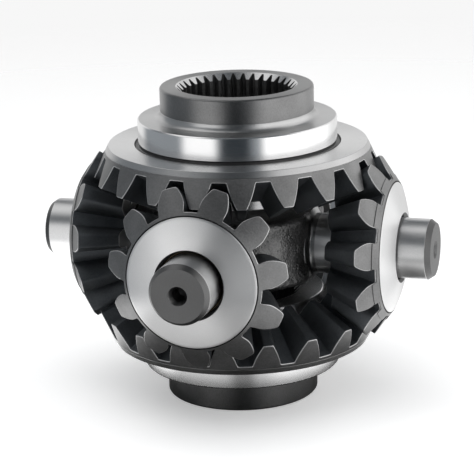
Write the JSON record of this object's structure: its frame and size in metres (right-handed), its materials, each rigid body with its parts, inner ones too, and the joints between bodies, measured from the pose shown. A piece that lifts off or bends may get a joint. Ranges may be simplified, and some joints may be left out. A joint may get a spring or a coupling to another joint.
{
  "type": "differential gear assembly",
  "caption": "Bevel differential gear set: a spider cross carries bushed bevel pinions on its trunnions, in mesh with an upper and a lower splined side gear.",
  "frame": {"origin": "centre of the spider cross, where the axes of all the gears meet", "axes": "+Z along the axis of the side gears, towards the upper one; the trunnions lie along X and Y, with the front pinion towards -Y"},
  "size_m": [0.167, 0.167, 0.1314],
  "materials": {
    "spider_steel": "ground trunnions, dark forged block",
    "gear_steel": "dark satin forged teeth, bright turned faces",
    "pinion_steel": "dark satin forged teeth, bright turned back",
    "bush_bronze": "dull, oiled bronze"
  },
  "bodies": {
    "spider": {"spider_cross": "spider_steel"},
    "upper_gear": {"upper_side_gear": "gear_steel"},
    "lower_gear": {"lower_side_gear": "gear_steel"},
    "front_pinion": {"pinion_front": "pinion_steel", "pinion_bush_front": "bush_bronze"},
    "right_pinion": {"pinion_right": "pinion_steel", "pinion_bush_right": "bush_bronze"},
    "back_pinion": {"pinion_back": "pinion_steel", "pinion_bush_back": "bush_bronze"},
    "left_pinion": {"pinion_left": "pinion_steel", "pinion_bush_left": "bush_bronze"}
  },
  "joints": [
    {"name": "upper_gear_spin", "type": "hinge", "parent": "spider", "child": "upper_gear", "pos_m": [0, 0, 0], "axis": [0, 0, 1], "continuous": true},
    {"name": "lower_gear_spin", "type": "hinge", "parent": "spider", "child": "lower_gear", "pos_m": [0, 0, 0], "axis": [0, 0, 1], "continuous": true},
    {"name": "front_pinion_spin", "type": "hinge", "parent": "spider", "child": "front_pinion", "pos_m": [0, 0, 0], "axis": [0, -1, 0], "continuous": true},
    {"name": "right_pinion_spin", "type": "hinge", "parent": "spider", "child": "right_pinion", "pos_m": [0, 0, 0], "axis": [1, 0, 0], "continuous": true},
    {"name": "back_pinion_spin", "type": "hinge", "parent": "spider", "child": "back_pinion", "pos_m": [0, 0, 0], "axis": [0, 1, 0], "continuous": true},
    {"name": "left_pinion_spin", "type": "hinge", "parent": "spider", "child": "left_pinion", "pos_m": [0, 0, 0], "axis": [-1, 0, 0], "continuous": true}
  ],
  "couplings": [
    {"joint": "lower_gear_spin", "follows": "upper_gear_spin", "ratio": -1},
    {"joint": "front_pinion_spin", "follows": "upper_gear_spin", "ratio": -1.8182},
    {"joint": "right_pinion_spin", "follows": "upper_gear_spin", "ratio": -1.8182},
    {"joint": "back_pinion_spin", "follows": "upper_gear_spin", "ratio": -1.8182},
    {"joint": "left_pinion_spin", "follows": "upper_gear_spin", "ratio": -1.8182}
  ]
}
